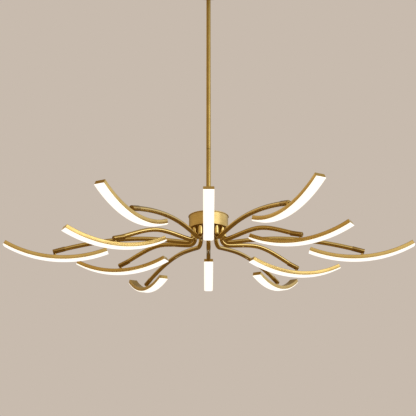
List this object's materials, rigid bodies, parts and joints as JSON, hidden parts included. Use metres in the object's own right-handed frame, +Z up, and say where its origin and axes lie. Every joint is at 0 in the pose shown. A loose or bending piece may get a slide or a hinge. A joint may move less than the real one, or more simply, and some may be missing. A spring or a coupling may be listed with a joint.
{
  "type": "multi arm chandelier",
  "caption": "Ceiling chandelier: a rod and drum hub carry bent tube arms that branch outwards, each holding a curved light bar on a swivel stem.",
  "frame": {"origin": "middle of the ceiling bracket's top face, on the ceiling", "axes": "+Z up into the ceiling, the lamp hangs along -Z; arm_01 points to -Y and the arms are numbered from there towards +X"},
  "size_m": [1.2067, 1.0917, 0.9654],
  "materials": {
    "satin_brass": "satin, fine brush lines round the turned parts",
    "arm_brass": "satin tube, brushed along its length",
    "stem_brass": "darker satin brass",
    "channel_brass": "satin extrusion, brushed along its length",
    "opal_lens": "opal, lit from inside",
    "zinc_steel": "zinc plated",
    "driver_case": "moulded"
  },
  "bodies": {
    "fixed_frame": {"ceiling_bracket": "zinc_steel", "canopy_cup": "satin_brass", "canopy_screw_left": "satin_brass", "canopy_screw_right": "satin_brass", "canopy_nut": "zinc_steel", "led_driver": "driver_case", "rod_upper": "satin_brass", "rod_joiner": "zinc_steel", "rod_lower": "satin_brass", "hub_cup": "satin_brass", "hub_base_plate": "satin_brass", "hub_cap_nut": "satin_brass", "arm_01": "arm_brass", "arm_02": "arm_brass", "arm_03": "arm_brass", "arm_04": "arm_brass", "arm_05": "arm_brass", "arm_06": "arm_brass", "arm_07": "arm_brass", "arm_08": "arm_brass", "arm_09": "arm_brass", "arm_10": "arm_brass", "arm_11": "arm_brass", "arm_12": "arm_brass"},
    "light_bar_01": {"bar_stem_01": "stem_brass", "bar_channel_01": "channel_brass", "bar_lens_01": "opal_lens"},
    "light_bar_02": {"bar_stem_02": "stem_brass", "bar_channel_02": "channel_brass", "bar_lens_02": "opal_lens"},
    "light_bar_03": {"bar_stem_03": "stem_brass", "bar_channel_03": "channel_brass", "bar_lens_03": "opal_lens"},
    "light_bar_04": {"bar_stem_04": "stem_brass", "bar_channel_04": "channel_brass", "bar_lens_04": "opal_lens"},
    "light_bar_05": {"bar_stem_05": "stem_brass", "bar_channel_05": "channel_brass", "bar_lens_05": "opal_lens"},
    "light_bar_06": {"bar_stem_06": "stem_brass", "bar_channel_06": "channel_brass", "bar_lens_06": "opal_lens"},
    "light_bar_07": {"bar_stem_07": "stem_brass", "bar_channel_07": "channel_brass", "bar_lens_07": "opal_lens"},
    "light_bar_08": {"bar_stem_08": "stem_brass", "bar_channel_08": "channel_brass", "bar_lens_08": "opal_lens"},
    "light_bar_09": {"bar_stem_09": "stem_brass", "bar_channel_09": "channel_brass", "bar_lens_09": "opal_lens"},
    "light_bar_10": {"bar_stem_10": "stem_brass", "bar_channel_10": "channel_brass", "bar_lens_10": "opal_lens"},
    "light_bar_11": {"bar_stem_11": "stem_brass", "bar_channel_11": "channel_brass", "bar_lens_11": "opal_lens"},
    "light_bar_12": {"bar_stem_12": "stem_brass", "bar_channel_12": "channel_brass", "bar_lens_12": "opal_lens"}
  },
  "joints": [
    {"name": "bar_swivel_01", "type": "hinge", "parent": "fixed_frame", "child": "light_bar_01", "pos_m": [0, -0.30285, -0.92754], "axis": [0, 0.1219, 0.9925], "range_deg": [-30, 30]},
    {"name": "bar_swivel_02", "type": "hinge", "parent": "fixed_frame", "child": "light_bar_02", "pos_m": [0.19754, -0.40576, -0.91944], "axis": [-0.0322, 0.0619, 0.9976], "range_deg": [-30, 30]},
    {"name": "bar_swivel_03", "type": "hinge", "parent": "fixed_frame", "child": "light_bar_03", "pos_m": [0.25253, -0.16646, -0.92854], "axis": [0.0151, -0.0087, 0.9998], "range_deg": [-30, 30]},
    {"name": "bar_swivel_04", "type": "hinge", "parent": "fixed_frame", "child": "light_bar_04", "pos_m": [0.44937, -0.00704, -0.93046], "axis": [-0.0522, 0.0037, 0.9986], "range_deg": [-30, 30]},
    {"name": "bar_swivel_05", "type": "hinge", "parent": "fixed_frame", "child": "light_bar_05", "pos_m": [0.26787, 0.12933, -0.94349], "axis": [-0.0319, -0.0142, 0.9994], "range_deg": [-30, 30]},
    {"name": "bar_swivel_06", "type": "hinge", "parent": "fixed_frame", "child": "light_bar_06", "pos_m": [0.22842, 0.38856, -0.92345], "axis": [-0.0675, -0.1217, 0.9903], "range_deg": [-30, 30]},
    {"name": "bar_swivel_07", "type": "hinge", "parent": "fixed_frame", "child": "light_bar_07", "pos_m": [0, 0.30068, -0.93456], "axis": [0, 0.0349, 0.9994], "range_deg": [-30, 30]},
    {"name": "bar_swivel_08", "type": "hinge", "parent": "fixed_frame", "child": "light_bar_08", "pos_m": [-0.20641, 0.3998, -0.92746], "axis": [0.0706, -0.1586, 0.9848], "range_deg": [-30, 30]},
    {"name": "bar_swivel_09", "type": "hinge", "parent": "fixed_frame", "child": "light_bar_09", "pos_m": [-0.26874, 0.13464, -0.93456], "axis": [0.0562, -0.0239, 0.9981], "range_deg": [-30, 30]},
    {"name": "bar_swivel_10", "type": "hinge", "parent": "fixed_frame", "child": "light_bar_10", "pos_m": [-0.44962, 0, -0.92946], "axis": [0.0697, 0.0012, 0.9976], "range_deg": [-30, 30]},
    {"name": "bar_swivel_11", "type": "hinge", "parent": "fixed_frame", "child": "light_bar_11", "pos_m": [-0.25786, -0.154, -0.93556], "axis": [-0.0378, -0.0218, 0.999], "range_deg": [-30, 30]},
    {"name": "bar_swivel_12", "type": "hinge", "parent": "fixed_frame", "child": "light_bar_12", "pos_m": [-0.19005, -0.4064, -0.93345], "axis": [0.0201, 0.0387, 0.999], "range_deg": [-30, 30]}
  ]
}
